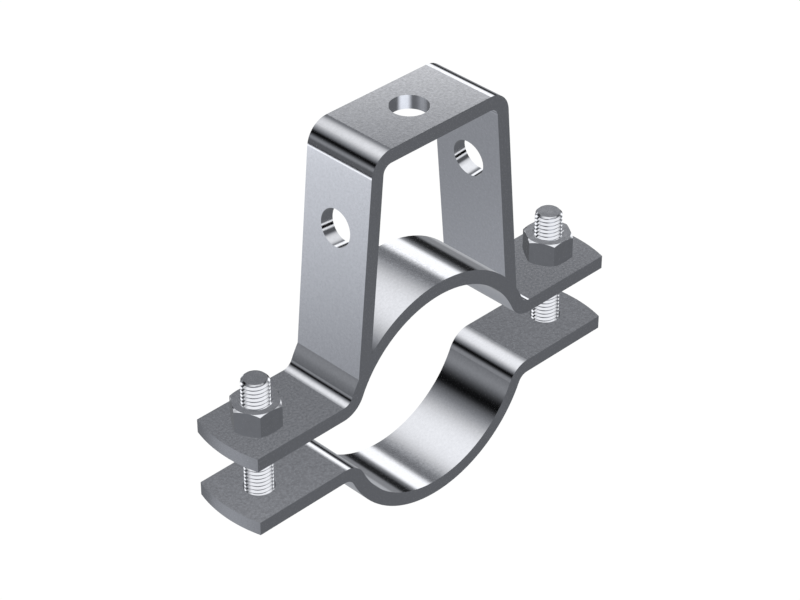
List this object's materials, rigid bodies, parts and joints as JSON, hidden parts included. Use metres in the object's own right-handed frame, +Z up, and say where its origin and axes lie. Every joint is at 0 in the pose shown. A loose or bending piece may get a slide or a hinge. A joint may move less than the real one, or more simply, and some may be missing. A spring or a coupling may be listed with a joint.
{
  "type": "sway brace pipe attachment",
  "caption": "Steel strap clamp that bolts round a pipe, with an upside-down U of the same strap standing on its upper half to take a sway brace fitting.",
  "frame": {"origin": "centre of the pipe seat, halfway across the strap", "axes": "+Y along the pipe, +X along the clamp's ears, +Z up through the yoke's top"},
  "size_m": [0.2188, 0.0382, 0.1945],
  "materials": {
    "strap_steel": "bright zinc coat on flat bar, finely mottled",
    "bolt_steel": "bright zinc coat",
    "nut_steel": "bright zinc coat, a little rougher"
  },
  "bodies": {
    "root": {"lower_clamp_half": "strap_steel", "upper_clamp_half": "strap_steel", "brace_yoke": "strap_steel", "bolt_left": "bolt_steel", "bolt_right": "bolt_steel", "nut_left": "nut_steel", "nut_right": "nut_steel"}
  },
  "joints": []
}
